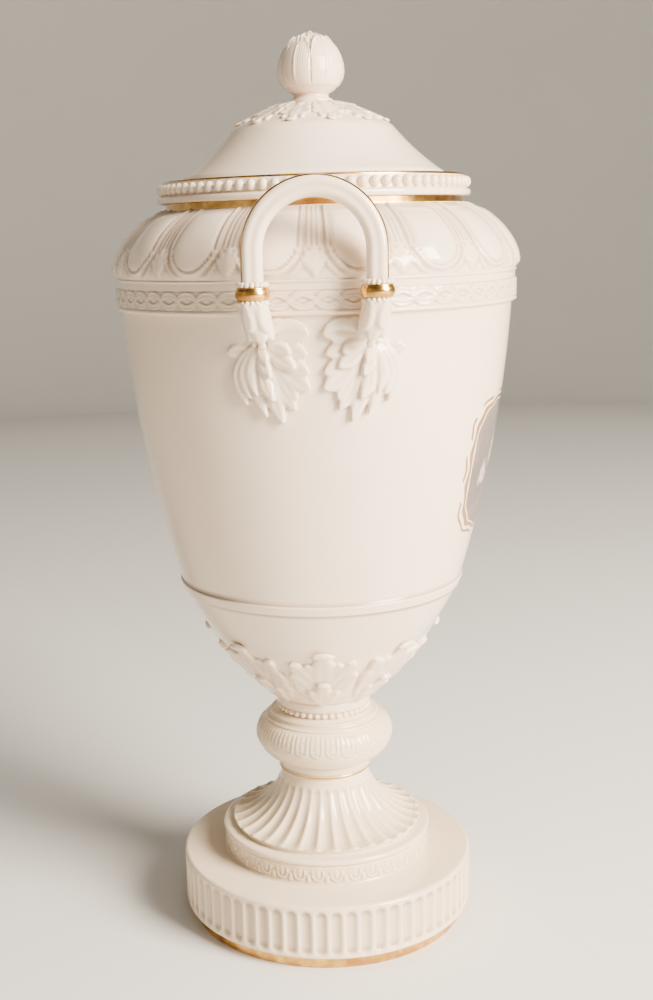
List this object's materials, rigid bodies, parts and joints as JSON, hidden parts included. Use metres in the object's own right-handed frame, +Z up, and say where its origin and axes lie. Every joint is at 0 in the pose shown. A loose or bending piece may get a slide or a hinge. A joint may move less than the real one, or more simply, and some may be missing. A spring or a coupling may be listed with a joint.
{
  "type": "lidded vase",
  "caption": "Tall urn-shaped porcelain vase with a domed lid and bud finial, arched side handles, relief bands and a stepped fluted pedestal.",
  "frame": {"origin": "centre of the underside, on the surface the vase stands on", "axes": "+Z up along the vase's axis; the handles stand on +X and -X; the painted front looks along -Y"},
  "size_m": [0.2786, 0.2456, 0.5607],
  "materials": {
    "body_porcelain": "glossy clear glaze over warm white porcelain",
    "pedestal_porcelain": "glossy clear glaze over ivory porcelain"
  },
  "bodies": {
    "root": {"lid": "body_porcelain", "body": "body_porcelain", "pedestal": "pedestal_porcelain"}
  },
  "joints": []
}
